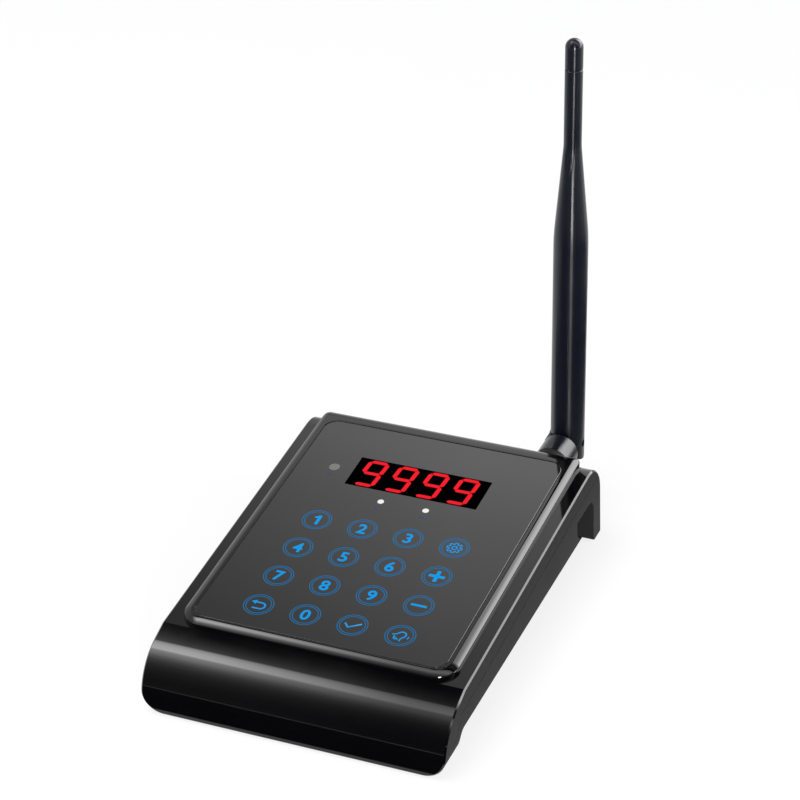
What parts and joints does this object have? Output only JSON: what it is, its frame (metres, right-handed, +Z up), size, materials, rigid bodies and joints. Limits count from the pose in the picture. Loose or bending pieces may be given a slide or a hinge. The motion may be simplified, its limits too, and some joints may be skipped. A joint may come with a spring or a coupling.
{
  "type": "guest pager console",
  "caption": "Counter-top guest paging transmitter: sloped touch-glass keypad and digit display in a two-part housing, with a folding antenna behind.",
  "frame": {"origin": "middle of the object's bounding box on the counter, under the rubber feet", "axes": "+Z up, +Y towards the rear where the antenna stands, +X to the right as the user sees it"},
  "size_m": [0.121, 0.2018, 0.1988],
  "materials": {
    "gloss_black": "polished piano-black moulding",
    "satin_black": "fine satin moulding",
    "smoked_glass": "polished, printed dark on the back",
    "foam_tape": "matt",
    "clear_film": "clear film",
    "white_plastic": "matt white moulding",
    "circuit_board": "solder mask",
    "blue_led": "clear blue lens",
    "red_filter": "polished tinted acrylic",
    "display_face": "matt black",
    "red_segment": "lit epoxy",
    "white_led": "frosted epoxy",
    "clear_acrylic": "polished acrylic",
    "tinned_pins": "tinned",
    "steel_screws": "zinc plated",
    "chip_epoxy": "moulded epoxy",
    "shield_steel": "tinned steel",
    "jack_plastic": "moulded",
    "nickel": "nickel plated",
    "antenna_satin": "satin moulding",
    "pin_steel": "plain",
    "brass_rod": "plain",
    "coax_jacket": "extruded jacket",
    "foot_rubber": "matt"
  },
  "bodies": {
    "console": {"deck_shell": "gloss_black", "panel_bezel": "gloss_black", "bottom_cover": "satin_black", "touch_glass": "smoked_glass", "glass_adhesive": "foam_tape", "touch_sensor": "clear_film", "light_baffle": "white_plastic", "key_board": "circuit_board", "key_leds": "blue_led", "display_filter": "red_filter", "display_module": "display_face", "digit_segments": "red_segment", "display_pins": "tinned_pins", "indicator_pipes": "clear_acrylic", "indicator_leds": "white_led", "light_sensor": "chip_epoxy", "main_board": "circuit_board", "board_screws": "steel_screws", "board_chips": "chip_epoxy", "board_header": "chip_epoxy", "radio_module": "circuit_board", "radio_can": "shield_steel", "buzzer": "chip_epoxy", "power_jack": "jack_plastic", "rubber_feet": "foot_rubber", "housing_screws": "steel_screws", "antenna_bushing": "nickel", "antenna_washer": "nickel", "antenna_nut": "nickel", "antenna_lead": "coax_jacket"},
    "antenna_swivel_body": {"antenna_base": "antenna_satin", "hinge_pin": "pin_steel"},
    "antenna_blade_body": {"antenna_blade": "antenna_satin", "antenna_element": "brass_rod", "antenna_cap": "antenna_satin"}
  },
  "joints": [
    {"name": "antenna_swivel", "type": "hinge", "parent": "console", "child": "antenna_swivel_body", "pos_m": [0.03955, 0.07326, 0.0269], "axis": [0, 1, 0], "range_deg": [-90, 90]},
    {"name": "antenna_elbow", "type": "hinge", "parent": "antenna_swivel_body", "child": "antenna_blade_body", "pos_m": [0.03955, 0.08566, 0.0269], "axis": [-1, 0, 0], "range_deg": [-4, 86]}
  ]
}
